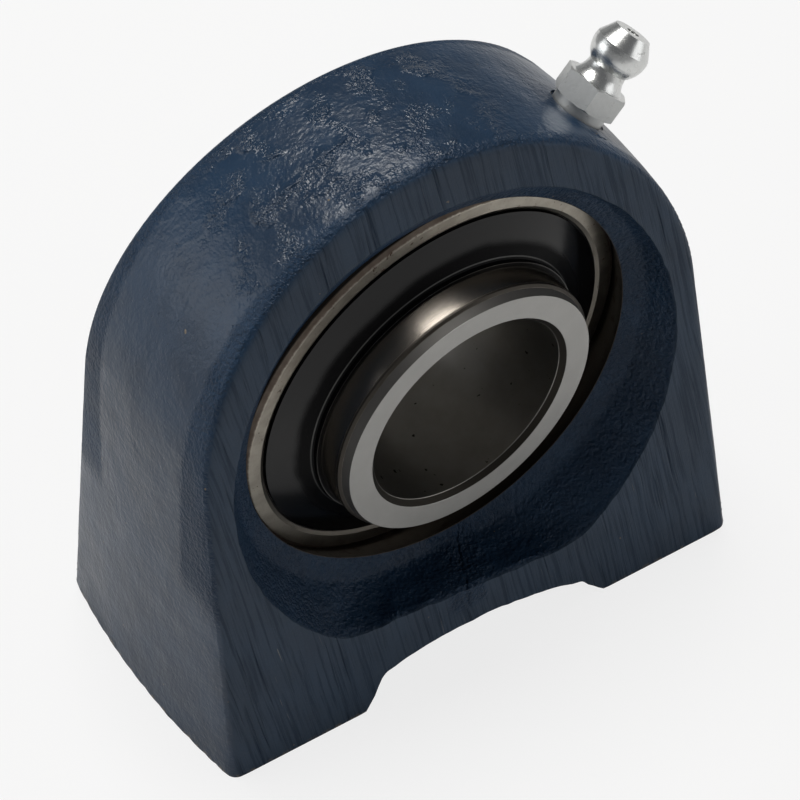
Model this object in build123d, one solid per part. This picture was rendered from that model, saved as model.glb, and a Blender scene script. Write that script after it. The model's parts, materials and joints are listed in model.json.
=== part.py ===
from build123d import *
from math import acos, asin, atan2, cos, degrees, pi, radians, sin, sqrt, tan
import os

os.makedirs("parts", exist_ok=True)

# Pillow block bearing: a short-base cast-iron housing with two tapped holes in its base and a
# self-aligning ball bearing insert for a 25 mm shaft. Millimetres.
# The origin is the centre of the spherical seat, on the shaft's axis. X runs along the base,
# Y along the shaft (front is -Y), Z up.

# ---- driving dimensions ------------------------------------------------------------------
# housing
base_length = 70.5          # foot to foot along X
base_depth = 36.0           # front to back at the base
shaft_height = 36.5         # base to the shaft's axis
crown_wall = 6.47           # iron over the seat at the crown, at mid depth
face_lean = 7.0             # degrees that the front and back faces lean in towards the crown
barrel_drop = 1.5           # how far sides and crown fall off from mid depth to the base's edge
face_edge_radius = 1.4      # rounding between the faces and the crown
seat_half_width = 9.2       # spherical seat, each side of the middle
seat_clearance = 0.03       # between seat and outer ring
ledge_width = 2.25          # ledge round the seat, its edge rounded off by the casting
ledge_rise = 1.3            # how far it runs out towards the face over that width
recess_angle = 31.0         # degrees, half angle of the dished recess
recess_fillet = 1.6         # hollow corner between ledge and recess
slot_width = 15.6           # filling slots in the back half, which let the insert in sideways
relief_half_width = 16.2    # shallow cast arch under the base, between the two feet
relief_height = 5.5         # at its crown
relief_left_height = 4.2    # at its left end, over a steep flank
relief_right_height = 2.8   # at its right end
relief_flank = 2.8
relief_fillet = 1.6
relief_crown_left = 2.0     # its crown lies this far left of the middle
bolt_spacing = 50.8         # the two tapped holes
bolt_core_diameter = 8.5    # M10
bolt_hole_depth = 18.0
bolt_mouth_chamfer = 0.9
drill_point = 120.0         # degrees, whole angle

# bearing insert
bore_diameter = 25.0
ring_diameter = 52.0        # spherical outside of the outer ring
ring_width = 15.0
ring_wall = 2.531           # outer ring behind the bottom of its raceway
ring_edge_chamfer = 0.4     # along the shaft, outside; and how wide it shows on the face
ring_edge_width = 0.6
ring_lip_chamfer = 0.5      # the same at the seal groove's lip
ring_lip_width = 0.6
ring_lip = 0.3              # how far that lip holds the seal in
short_side = 14.3           # middle of the insert to the inner ring's front face
long_side = 19.8            # middle of the insert to its back face, where the set screws are
nose_step = 0.7             # turned-down nose at the front face
nose_length = 1.4
nose_slope = 0.3            # length of the cone that leads up from it
sleeve_break = 0.1          # edge broken there, its height and length
sleeve_break_length = 0.4
sleeve_end_chamfer = 0.5
bore_chamfer = 0.65
ball_diameter = 7.938
ball_count = 9
race_depth = 1.32           # how deep a ball sits between a raceway's shoulders
race_conformity = 0.52      # raceway's radius over the ball's diameter
ball_play = 0.03            # between ball and raceway
insert_tilt = 5.9           # degrees the insert lies off square in its seat, until a shaft lines it up
tilt_axis_angle = 36.0      # the axis it has turned about, degrees up from +X

# cage
cage_inside = 1.4           # from the balls' pitch circle in to its bore
cage_outside = 1.5          # and out to its rim
cage_back = 5.0             # closed side, from the middle
cage_slit_depth = 1.5       # relief between two pockets, from the open side
cage_slit_width = 1.2
cage_mouth = 2.5            # snap side
pocket_play = 0.10

# seals and flingers
seal_inner_face = 5.4       # from the middle
seal_web = 0.35
seal_play = 0.1             # each side of the bead in its groove, and of the seal on the ring
seal_bead_width = 1.1
seal_bead_depth = 0.75
seal_bead_play = 0.05       # at the bottom of the groove
seal_groove_depth = 0.85    # in the outer ring's bore
seal_lip_length = 1.2
seal_lip_play = 0.04
seal_lip_root = 1.3         # the lip's section, measured out from its edge: at the web,
seal_lip_toe = 0.7          # at its end,
seal_lip_undercut = 0.35    # and at the inner face
seal_lip_slope = 0.1
stiffener_margin = 0.05     # to the bead and to the lip
stiffener_thickness = 0.35
flinger_sheet = 0.4
flinger_gap = 0.45          # between its rim and the outer ring's lip
flinger_rim = 7.5           # front of its rim, from the middle
flinger_bend = 9.1          # front of its bend, where the collar starts
flinger_collar = 10.7       # end of the collar
flinger_bend_width = 0.25   # the bend's section: its width,
flinger_bend_outside = 0.2  # and its height outside and inside
flinger_bend_inside = 0.15
press_gap = 0.01

# set screws
screw_diameter = 5.3        # M6 x 0.75 at the middle of its thread
screw_length = 5.5
screw_cup_diameter = 2.6    # the sharp rim that bites the shaft
screw_cup_depth = 0.6
screw_point_length = 1.1
screw_end_chamfer = 0.4
screw_from_face = 5.0
screw_spread = 120.0        # degrees between the two
screw_tip_gap = 0.15        # tip stands this far short of the bore
screw_play = 0.05
screw_socket = 3.0          # hexagon socket, across flats
screw_socket_depth = 2.2

# grease nipple and its way in
nipple_angle = 46.0         # degrees up from +X, round the shaft's axis
nipple_offset = 2.8         # its axis lies this far in front of the middle
grease_offset = 3.7         # and the outer ring's grease groove this far
nipple_thread_diameter = 5.4
nipple_thread_length = 5.4
nipple_thread_play = 0.03
nipple_thread_runout = 0.2  # of its hole, past the end of the thread
nipple_thread_chamfer = 0.5
nipple_spot_diameter = 7.0
nipple_collar_diameter = 6.3
nipple_collar_height = 1.25
nipple_hex = 7.0
nipple_hex_height = 2.9
nipple_hex_turn = 17.8      # where the thread ran tight, degrees round its axis
nipple_hex_chamfer = 0.35    # its corners turned off, across and along
nipple_hex_chamfer_height = 0.2
nipple_neck_diameter = 6.0
nipple_waist_diameter = 4.6
nipple_flare_hollow = 0.22  # hollow of the flare between neck and waist
nipple_head_diameter = 6.5
nipple_height = 10.6
nipple_tip_diameter = 4.3
nipple_tip_height = 1.75
nipple_shoulder_diameter = 6.4
nipple_bore_diameter = 2.4  # holds the ball and its spring
nipple_way_diameter = 1.5   # under them
nipple_mouth_diameter = 1.5
nipple_mouth_depth = 0.4
nipple_seat_depth = 0.9
check_ball_diameter = 2.2
check_ball_travel = 0.8
check_ball_play = 0.02
spring_diameter = 1.8       # middle of the wire
spring_wire = 0.32
spring_turns = 5
spring_pitch = 0.75
grease_way_diameter = 2.4
grease_hole_diameter = 1.8
grease_groove_depth = 0.4
grease_groove_width = 2.2

# ---- sizes that follow from them ----------------------------------------------------------
bore_radius = bore_diameter / 2
ring_radius = ring_diameter / 2
ring_half = ring_width / 2
ball_radius = ball_diameter / 2
pitch_radius = ring_radius - ring_wall - ball_radius
sleeve_radius = pitch_radius - ball_radius + race_depth
ring_bore_radius = pitch_radius + ball_radius - race_depth
race_radius = race_conformity * ball_diameter
seal_seat_radius = ring_bore_radius + seal_groove_depth
lip_radius = seal_seat_radius - ring_lip
seal_bead_radius = seal_seat_radius - seal_bead_play
seat_radius = ring_radius + seat_clearance
crown_radius = seat_radius + crown_wall
half_base = base_length / 2
half_depth = base_depth / 2


# ---- helpers ------------------------------------------------------------------------------
def turned(outline, angle=360):
    """A profile of (radius, distance along the shaft) points turned round the shaft's axis."""
    return revolve(make_face(Polyline(*outline, close=True)), Axis.Y, angle)


def turned_both(outline):
    """The same, drawn for the front side (-Y) and mirrored to the back."""
    front = turned([(r, -along) for r, along in outline])
    return front, mirror(front, about=Plane.XZ)


def swivelled(piece):
    """The piece turned with the insert in its spherical seat."""
    way = (cos(radians(tilt_axis_angle)), 0, sin(radians(tilt_axis_angle)))
    return piece.rotate(Axis((0, 0, 0), way), insert_tilt)


def across(angle, radius=0.0, along=0.0):
    """A plane whose normal points out from the shaft's axis, angle degrees up from +X."""
    out = Vector(cos(radians(angle)), 0, sin(radians(angle)))
    return Plane(origin=out * radius + Vector(0, along, 0), x_dir=(0, 1, 0), z_dir=out)


# ---- housing ------------------------------------------------------------------------------
def arch():
    """Crown and sides: one barrelled section, turned over the crown and drawn down each side."""
    reach = sqrt(half_base**2 + shaft_height**2)
    lean = degrees(acos(crown_radius / reach)) - degrees(atan2(shaft_height, half_base))
    edge = crown_radius - barrel_drop
    crest = ThreePointArc((edge, -half_depth), (crown_radius, 0), (edge, half_depth))

    def section(inner):
        rest = Polyline(crest @ 1, (inner, half_depth), (inner, -half_depth), crest @ 0)
        return make_face(crest + rest)

    crown = revolve(section(0), Axis.Y, -(180 - 2 * lean)).rotate(Axis.Y, -lean)
    past_middle = 2 * shaft_height * tan(radians(abs(lean))) + 2
    side = extrude(section(-past_middle), reach, dir=(0, 0, -1)).rotate(Axis.Y, -lean)
    body = crown + side + mirror(side, about=Plane.YZ)
    below = Pos(0, 0, -shaft_height - reach) * Box(4 * half_base, 4 * half_depth, 2 * reach)
    return body - below


def wedge():
    """The leaning front and back faces, as one block to keep what lies between them."""
    top = crown_radius + 5
    shrink = (top + shaft_height) * tan(radians(face_lean))
    side = Polyline(
        (-half_depth, -shaft_height),
        (half_depth, -shaft_height),
        (half_depth - shrink, top),
        (-half_depth + shrink, top),
        close=True,
    )
    return extrude(Plane.YZ * make_face(side), half_base + 5, both=True)


def seat_and_recesses():
    """What is turned out of the casting: spherical seat, ledge and dished recess, both sides."""
    seat_edge = sqrt(seat_radius**2 - seat_half_width**2)
    ledge_radius = seat_edge + ledge_width
    ledge_end = seat_half_width + ledge_rise
    deep = half_depth + 4
    wide = ledge_radius + (deep - ledge_end) * tan(radians(recess_angle))
    start, corner = (seat_edge, -seat_half_width), (ledge_radius, -ledge_end)
    inside = ThreePointArc(start, (seat_radius, 0), (seat_edge, seat_half_width))
    front = FilletPolyline(start, corner, (wide, -deep), radius=recess_fillet)
    back = FilletPolyline(
        (seat_edge, seat_half_width), (ledge_radius, ledge_end), (wide, deep), radius=recess_fillet
    )
    close = Polyline((wide, -deep), (0, -deep), (0, deep), (wide, deep))
    return revolve(make_face(inside + front + back + close), Axis.Y)


def filling_slots():
    """Two flats' width of seat taken away at left and right of the back half."""
    deep = half_depth + 1
    drum = Pos(0, deep / 2, 0) * Rot(90, 0, 0) * Cylinder(seat_radius, deep)
    return drum & Pos(0, deep / 2, 0) * Box(4 * seat_radius, deep, slot_width)


def base_relief():
    """The cast arch under the base, open at front and back."""
    floor, below = -shaft_height, -shaft_height - 1
    left, right = -relief_half_width, relief_half_width
    spring_left = (left + relief_flank, floor + relief_left_height)
    spring_right = (right - relief_flank, floor + relief_right_height)
    roof = ThreePointArc(spring_left, (-relief_crown_left, floor + relief_height), spring_right)
    feet = Polyline(
        spring_right, (right, floor), (right, below), (left, below), (left, floor), spring_left
    )
    face = make_face(roof + feet)
    corners = [v for v in face.vertices() if floor + 0.1 < v.Y < floor + relief_height - 0.1]
    face = fillet(corners, relief_fillet)
    return extrude(Plane.XZ * face, half_depth + 1, both=True)


def tapped_hole():
    """Core hole of a base thread, from the base upwards, with a drill point."""
    r = bolt_core_diameter / 2
    c = bolt_mouth_chamfer
    outline = [
        (0, -1),
        (r + c + 1, -1),
        (r, c),
        (r, bolt_hole_depth),
        (0, bolt_hole_depth + r / tan(radians(drill_point / 2))),
    ]
    return revolve(make_face(Plane.XZ * Polyline(*outline, close=True)), Axis.Z)


def nipple_hole():
    """Spot face, threaded hole and grease way, down into the seat."""
    plane = nipple_plane()
    hole = nipple_thread_diameter / 2 + nipple_thread_play
    spot = plane * Pos(0, 0, 5) * Cylinder(nipple_spot_diameter / 2, 10)
    deep = nipple_thread_length + nipple_thread_runout
    thread = plane * Pos(0, 0, -deep / 2) * Cylinder(hole, deep)
    way = plane * Pos(0, 0, -4) * Cylinder(grease_way_diameter / 2, 8)
    return spot, thread + way


def housing():
    body = arch() & wedge()
    lean = radians(face_lean)
    faces = [
        f
        for f in body.faces()
        if f.geom_type == GeomType.PLANE and abs(abs(f.normal_at().Y) - cos(lean)) < 1e-4
    ]
    rims = [e for f in faces for e in f.edges() if e.center().Z > -shaft_height + 0.1]
    body = fillet(rims, face_edge_radius)
    spot, thread = nipple_hole()
    body = body - seat_and_recesses() - filling_slots() - base_relief() - spot - thread
    hole = tapped_hole()
    for x in (-bolt_spacing / 2, bolt_spacing / 2):
        body -= Pos(x, 0, -shaft_height) * hole
    return body


# ---- insert -------------------------------------------------------------------------------
def race(centre_radius):
    """The ring-shaped cutter of a raceway."""
    return revolve(Pos(centre_radius, 0) * Circle(race_radius), Axis.Y)


def outer_ring():
    """Spherical outside, raceway, seal seats and chamfered faces; a grease groove and hole."""
    step = seal_inner_face - seal_play
    lip_inner, lip_outer = seal_inner_face + seal_bead_width + seal_play, ring_half - ring_lip_chamfer
    edge_along = ring_half - ring_edge_chamfer
    edge = sqrt(ring_radius**2 - edge_along**2)
    flat_inner, flat_outer = lip_radius + ring_lip_width, edge - ring_edge_width

    def side(sign):
        corners = [
            (edge, edge_along),
            (flat_outer, ring_half),
            (flat_inner, ring_half),
            (lip_radius, lip_outer),
            (lip_radius, lip_inner),
            (seal_seat_radius, lip_inner),
            (seal_seat_radius, step),
            (ring_bore_radius, step),
        ]
        return [(r, sign * along) for r, along in corners]

    front, back = side(-1), side(1)
    outside = ThreePointArc(front[0], (ring_radius, 0), back[0])
    body = revolve(make_face(outside + Polyline(*back, *reversed(front))), Axis.Y)
    body -= race(pitch_radius + ball_radius + ball_play - race_radius)
    groove_floor = sqrt(ring_radius**2 - grease_offset**2) - grease_groove_depth
    half = grease_groove_width / 2
    body -= turned(
        [
            (groove_floor, -grease_offset - half),
            (ring_radius + 1, -grease_offset - half),
            (ring_radius + 1, -grease_offset + half),
            (groove_floor, -grease_offset + half),
        ]
    )
    hole_along = -(outer_race_edge() + step) / 2
    hole = across(nipple_angle, ring_radius, hole_along) * Cylinder(grease_hole_diameter / 2, 12)
    return body - hole


def outer_race_edge():
    """Where the outer raceway ends on its shoulder, from the middle."""
    centre = pitch_radius + ball_radius + ball_play - race_radius
    return sqrt(race_radius**2 - (ring_bore_radius - centre) ** 2)


def screw_angles():
    return (90 - screw_spread / 2, 90 + screw_spread / 2)


def inner_ring():
    """Long sleeve with the raceway, a turned-down nose and two tapped holes on the long side."""
    c, nose = bore_chamfer, sleeve_radius - nose_step
    body = turned(
        [
            (bore_radius + c, -short_side),
            (nose, -short_side),
            (nose, -short_side + nose_length - nose_slope),
            (sleeve_radius - sleeve_break, -short_side + nose_length),
            (sleeve_radius, -short_side + nose_length + sleeve_break_length),
            (sleeve_radius, long_side - sleeve_end_chamfer),
            (sleeve_radius - sleeve_end_chamfer, long_side),
            (bore_radius + c, long_side),
            (bore_radius, long_side - c),
            (bore_radius, -short_side + c),
        ]
    )
    body -= race(pitch_radius - ball_radius - ball_play + race_radius)
    along = long_side - screw_from_face
    for angle in screw_angles():
        hole = Cylinder(screw_diameter / 2 + screw_play, 2 * sleeve_radius - bore_radius)
        body -= across(angle, sleeve_radius, along) * hole
    return body


def ball(number):
    angle = 360 * number / ball_count
    place = Rot(0, -angle, 0) * Pos(pitch_radius, 0, 0)
    return place * Sphere(ball_radius)


def cage():
    """Snap cage: a ring with a pocket for each ball, open on the front side."""
    inner, outer = pitch_radius - cage_inside, pitch_radius + cage_outside
    body = turned([(inner, -cage_mouth), (outer, -cage_mouth), (outer, cage_back), (inner, cage_back)])
    for number in range(ball_count):
        angle = 360 * number / ball_count
        body -= Rot(0, -angle, 0) * Pos(pitch_radius, 0, 0) * Sphere(ball_radius + pocket_play)
        # relief between two pockets, so that the prongs can spring
        middle = Rot(0, -angle - 180 / ball_count, 0) * Pos(pitch_radius, 0, 0)
        body -= middle * Pos(0, -cage_mouth, 0) * Box(outer, 2 * cage_slit_depth, cage_slit_width)
    return body


# ---- seals and flingers -------------------------------------------------------------------
def seals():
    """Rubber washer with a bead in the outer ring's groove and a lip on the sleeve."""
    inner, lip = seal_inner_face, sleeve_radius + seal_lip_play
    bead_root = seal_bead_radius - seal_bead_depth
    web = inner + seal_web
    return turned_both(
        [
            (seal_bead_radius, inner),
            (seal_bead_radius, inner + seal_bead_width),
            (bead_root, inner + seal_bead_width),
            (bead_root, web),
            (lip + seal_lip_root, web),
            (lip + seal_lip_toe, inner + seal_lip_length),
            (lip, inner + seal_lip_length + seal_lip_slope),
            (lip + seal_lip_undercut, inner),
        ]
    )


def stiffeners():
    """Flat steel washers bonded to the outside of the seals' webs."""
    low = seal_inner_face + seal_web
    inside = sleeve_radius + seal_lip_play + seal_lip_root + stiffener_margin
    outside = seal_bead_radius - seal_bead_depth - stiffener_margin
    high = low + stiffener_thickness
    return turned_both([(inside, low), (outside, low), (outside, high), (inside, high)])


def flingers():
    """Dished discs pressed from sheet, each with a collar that grips the inner ring."""
    t = flinger_sheet
    grip = sleeve_radius + press_gap
    rim = lip_radius - flinger_gap
    bend = grip + t + flinger_bend_width
    return turned_both(
        [
            (rim, flinger_rim - t),
            (rim, flinger_rim),
            (bend, flinger_bend),
            (grip + t, flinger_bend + flinger_bend_outside),
            (grip + t, flinger_collar),
            (grip, flinger_collar),
            (grip, flinger_bend - flinger_bend_inside),
            (bend - flinger_bend_width, flinger_bend - t),
        ]
    )


# ---- set screws ---------------------------------------------------------------------------
def set_screw(angle):
    """Cup-point socket screw, its tip just short of the bore."""
    r = screw_diameter / 2
    low = bore_radius + screw_tip_gap
    plane = across(angle, low, long_side - screw_from_face)
    outline = [
        (0, screw_cup_depth),
        (screw_cup_diameter / 2, 0),
        (r, screw_point_length),
        (r, screw_length - screw_end_chamfer),
        (r - screw_end_chamfer, screw_length),
        (0, screw_length),
    ]
    body = revolve(make_face(Plane.XZ * Polyline(*outline, close=True)), Axis.Z)
    depth = screw_socket_depth
    socket = RegularPolygon(screw_socket / 2, 6, major_radius=False)
    body -= Pos(0, 0, screw_length - depth) * extrude(socket, depth + 1)
    return plane * body


# ---- grease nipple ------------------------------------------------------------------------
def nipple_plane():
    return across(nipple_angle, crown_radius - crown_flat_drop(), -nipple_offset)


def crown_flat_drop():
    """The spot face lies this far under the crown, so that the round collar seats all round."""
    r = nipple_spot_diameter / 2
    fall = barrel_drop / half_depth**2 * (nipple_offset + r) ** 2
    return crown_radius - sqrt(crown_radius**2 - r**2) + fall


def nipple_body():
    head = nipple_head_diameter / 2
    waist, neck = nipple_waist_diameter / 2, nipple_neck_diameter / 2
    tip, mouth = nipple_tip_diameter / 2, nipple_mouth_diameter / 2
    hollow, way = nipple_bore_diameter / 2, nipple_way_diameter / 2
    top, hex_low = nipple_height, nipple_collar_height
    hex_high = hex_low + nipple_hex_height
    shoulder = top - nipple_tip_height
    shoulder_radius = nipple_shoulder_diameter / 2
    centre = shoulder - sqrt(head**2 - shoulder_radius**2)
    waist_high = centre - sqrt(head**2 - waist**2)
    seat_top = top - nipple_mouth_depth
    seat_low = seat_top - nipple_seat_depth
    thread, collar = nipple_thread_diameter / 2, nipple_collar_diameter / 2

    ball_side = ThreePointArc((waist, waist_high), (head, centre), (shoulder_radius, shoulder))
    flare = ThreePointArc(
        (neck, hex_high),
        ((neck + waist) / 2 - nipple_flare_hollow, (hex_high + waist_high) / 2),
        (waist, waist_high),
    )
    floor = spring_foot() - press_gap
    lower = Polyline(
        (way, -nipple_thread_length),
        (thread - nipple_thread_chamfer, -nipple_thread_length),
        (thread, -nipple_thread_length + nipple_thread_chamfer),
        (thread, 0),
        (collar, 0),
        (collar, hex_low),
        (neck, hex_low),
        (neck, hex_high),
    )
    upper = Polyline(
        (shoulder_radius, shoulder),
        (tip, top),
        (mouth, top),
        (mouth, seat_top),
        (hollow, seat_low),
        (hollow, floor),
        (way, floor),
        (way, -nipple_thread_length),
    )
    body = revolve(Plane.XZ * make_face(lower + flare + ball_side + upper), Axis.Z)
    # hexagon, its corners turned off at both ends
    flats = extrude(RegularPolygon(nipple_hex / 2, 6, major_radius=False), nipple_hex_height)
    corner = nipple_hex / sqrt(3)
    c, rise = nipple_hex_chamfer, nipple_hex_chamfer_height
    blank = [
        (0, 0),
        (corner - c, 0),
        (corner, rise),
        (corner, nipple_hex_height - rise),
        (corner - c, nipple_hex_height),
        (0, nipple_hex_height),
    ]
    blank = revolve(make_face(Plane.XZ * Polyline(*blank, close=True)), Axis.Z)
    hexagon = Pos(0, 0, hex_low) * Rot(0, 0, nipple_hex_turn) * (flats & blank)
    return body + (hexagon - Cylinder(thread - nipple_thread_chamfer, 4 * nipple_height))


def grease_nipple():
    return nipple_plane() * nipple_body()


def check_ball_height():
    """Centre of the check ball when it sits in the cone under the mouth."""
    hollow, mouth = nipple_bore_diameter / 2, nipple_mouth_diameter / 2
    half_angle = atan2(hollow - mouth, nipple_seat_depth)
    apex = nipple_height - nipple_mouth_depth + mouth / tan(half_angle)
    return apex - (check_ball_diameter / 2 + check_ball_play) / sin(half_angle)


def check_ball():
    return nipple_plane() * Pos(0, 0, check_ball_height()) * Sphere(check_ball_diameter / 2)


def spring_foot():
    """Lower end of the spring, drawn at its pressed length to leave the ball its travel."""
    top = check_ball_height() - check_ball_diameter / 2 - check_ball_travel
    return top - spring_turns * spring_pitch - spring_wire


def nipple_spring():
    path = Helix(spring_pitch, spring_turns * spring_pitch, spring_diameter / 2)
    section = Plane(path @ 0, z_dir=path % 0) * Circle(spring_wire / 2)
    coil = sweep(section, path, is_frenet=True)
    return nipple_plane() * Pos(0, 0, spring_foot() + spring_wire / 2) * coil


# ---- write the pieces ---------------------------------------------------------------------
insert = {"outer_ring": outer_ring(), "inner_ring": inner_ring(), "cage": cage()}
insert["seal_front"], insert["seal_back"] = seals()
insert["seal_plate_front"], insert["seal_plate_back"] = stiffeners()
insert["flinger_front"], insert["flinger_back"] = flingers()
for number in range(ball_count):
    insert[f"ball_{number + 1}"] = ball(number)
for number, angle in enumerate(screw_angles()):
    insert[f"set_screw_{number + 1}"] = set_screw(angle)

pieces = {
    "housing": housing(),
    "grease_nipple": grease_nipple(),
    "nipple_check_ball": check_ball(),
    "nipple_spring": nipple_spring(),
}
for name, piece in insert.items():
    pieces[name] = swivelled(piece)

for name, piece in pieces.items():
    export_step(piece, f"parts/{name}.step")
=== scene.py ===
import json
from math import cos, pi, radians, sin, tan

import bmesh
import bpy
from mathutils import Matrix, Vector, noise


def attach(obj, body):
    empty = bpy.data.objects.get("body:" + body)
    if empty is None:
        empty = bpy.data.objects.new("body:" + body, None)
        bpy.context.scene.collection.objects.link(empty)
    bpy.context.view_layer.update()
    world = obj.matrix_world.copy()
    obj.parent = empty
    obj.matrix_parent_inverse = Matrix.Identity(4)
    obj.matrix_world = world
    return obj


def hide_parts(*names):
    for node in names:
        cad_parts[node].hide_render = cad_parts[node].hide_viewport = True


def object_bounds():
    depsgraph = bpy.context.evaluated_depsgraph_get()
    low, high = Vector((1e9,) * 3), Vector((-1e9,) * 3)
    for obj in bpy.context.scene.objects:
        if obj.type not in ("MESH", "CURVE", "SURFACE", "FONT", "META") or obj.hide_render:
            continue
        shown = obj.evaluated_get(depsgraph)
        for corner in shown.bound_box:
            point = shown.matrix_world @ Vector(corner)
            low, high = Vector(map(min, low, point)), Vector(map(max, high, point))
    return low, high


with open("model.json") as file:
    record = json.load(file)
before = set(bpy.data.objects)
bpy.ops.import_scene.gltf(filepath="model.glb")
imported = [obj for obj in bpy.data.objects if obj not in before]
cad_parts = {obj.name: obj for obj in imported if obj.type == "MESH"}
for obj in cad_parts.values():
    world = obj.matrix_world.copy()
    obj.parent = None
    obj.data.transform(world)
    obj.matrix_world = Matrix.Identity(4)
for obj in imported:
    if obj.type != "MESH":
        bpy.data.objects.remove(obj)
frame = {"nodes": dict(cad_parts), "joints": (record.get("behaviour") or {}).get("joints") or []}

cad_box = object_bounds()
nodes = frame["nodes"]
MM = 0.001  # every size below is in millimetres, the scene in metres


# ---- camera -------------------------------------------------------------------------------
# A long lens looks down on the bearing from its front left, far enough off that the long edges
# stay nearly parallel. Angles are measured from straight in front and from the level.
camera_turn, camera_rise, camera_roll = radians(31.239), radians(46.48), radians(-2.196)
camera_distance, camera_focal_length = 436.487, 175.42
camera_aim = Vector((0.626, 0, -11.271))

back = Vector(
    (
        -sin(camera_turn) * cos(camera_rise),
        -cos(camera_turn) * cos(camera_rise),
        sin(camera_rise),
    )
)
right = Vector((0, 0, 1)).cross(back).normalized()
turn = Matrix((right, back.cross(right), back)).transposed()
turn = turn @ Matrix.Rotation(camera_roll, 3, "Z")
camera = bpy.data.objects.new("camera", bpy.data.cameras.new("camera"))
camera.data.lens = camera_focal_length
camera.data.sensor_width = 36
camera.data.clip_start, camera.data.clip_end = 0.01, 20
camera.matrix_world = Matrix.LocRotScale((camera_aim + back * camera_distance) * MM, turn, None)
bpy.context.scene.collection.objects.link(camera)
bpy.context.scene.camera = camera
bpy.context.scene.view_settings.view_transform = "Standard"


# ---- floor and lamps ----------------------------------------------------------------------
# A pale sweep, flat under the bearing and turned up far behind it on all sides, a softbox
# overhead, a wide one at the left and behind, and a dim card in front on the right.
sweep_flat, sweep_bend, sweep_wall = 2200, 500, 700
bend_steps, sweep_sides = 8, 64  # how finely its bend and its circle are cut
sweep_colour = (0.84, 0.84, 0.84, 1)
sweep_seen, sweep_mirrored = 0.8, 0.15  # how much of it shows as plain white, and in gloss
sky_colour, sky_strength = (0.95, 0.97, 1.0, 1), 0.12


class Reading:
    """A socket in a finish's nodes. Arithmetic on it adds Math nodes."""

    def __init__(self, finish, socket):
        self.finish, self.socket = finish, socket

    def math(self, operation, *values):
        sockets = dict(enumerate(values))
        return self.finish.node("ShaderNodeMath", {"operation": operation}, sockets)[0]

    def __add__(self, other):
        return self.math("ADD", self, other)

    def __sub__(self, other):
        return self.math("SUBTRACT", self, other)

    def __mul__(self, other):
        return self.math("MULTIPLY", self, other)

    def __radd__(self, other):
        return self.math("ADD", other, self)

    def __rsub__(self, other):
        return self.math("SUBTRACT", other, self)

    def __rmul__(self, other):
        return self.math("MULTIPLY", other, self)

    def __abs__(self):
        return self.math("ABSOLUTE", self)

    def most(self, other):
        return self.math("MAXIMUM", self, other)


class Finish:
    """A material under way. Its readings are places and lengths in millimetres."""

    def __init__(self, name):
        self.material = bpy.data.materials.new(name)
        self.material.use_nodes = True
        self.tree = self.material.node_tree
        self.tree.nodes.clear()

    def node(self, kind, settings, sockets):
        """Adds a node: its settings first, then the values or links of its sockets."""
        made = self.tree.nodes.new(kind)
        for name, value in settings.items():
            setattr(made, name, value)
        for key, value in sockets.items():
            if isinstance(value, Reading):
                self.tree.links.new(value.socket, made.inputs[key])
            else:
                made.inputs[key].default_value = value
        return [Reading(self, socket) for socket in made.outputs]

    def place(self):
        at = self.node("ShaderNodeTexCoord", {}, {})[3]
        return self.node("ShaderNodeVectorMath", {"operation": "SCALE"}, {0: at, 3: 1 / MM})[0]

    def parts(self, vector):
        return self.node("ShaderNodeSeparateXYZ", {}, {0: vector})

    def vector(self, x, y, z):
        return self.node("ShaderNodeCombineXYZ", {}, {0: x, 1: y, 2: z})[0]

    def length(self, vector):
        return self.node("ShaderNodeVectorMath", {"operation": "LENGTH"}, {0: vector})[1]

    def grain(self, at, size, detail=2.0, roughness=0.5):
        """Soft noise, about 0 to 1, whose lumps are about size across."""
        sockets = {"Vector": at, "Scale": 1 / size, "Detail": detail, "Roughness": roughness}
        return self.node("ShaderNodeTexNoise", {}, sockets)[0]

    def fade(self, value, start, end):
        """Eases from 0 to 1 as value goes from start to end, which may lie below start."""
        settings = {"interpolation_type": "SMOOTHSTEP"}
        sockets = {0: value, 1: start, 2: end}
        return self.node("ShaderNodeMapRange", settings, sockets)[0]

    def tint(self, factor, under, over):
        """One colour over another, as far as factor says."""
        sockets = {0: factor, 6: under, 7: over}
        return self.node("ShaderNodeMix", {"data_type": "RGBA"}, sockets)[2]

    def bump(self, height):
        """Relief, its height in millimetres."""
        return self.node("ShaderNodeBump", {}, {"Distance": MM, "Height": height})[0]

    def gloss(self, **sockets):
        """A surface: socket names are written with _ for a space."""
        named = {name.replace("_", " "): value for name, value in sockets.items()}
        return self.node("ShaderNodeBsdfPrincipled", {}, named)[0]

    def cover(self, factor, under, over):
        """One surface over another, as far as factor says."""
        return self.node("ShaderNodeMixShader", {}, {0: factor, 1: under, 2: over})[0]

    def done(self, surface):
        self.node("ShaderNodeOutputMaterial", {}, {"Surface": surface})
        return self.material


def dress(name, material):
    """Gives a node of the frame its finish."""
    slots = nodes[name].data.materials
    slots.clear()
    slots.append(material)


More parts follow.
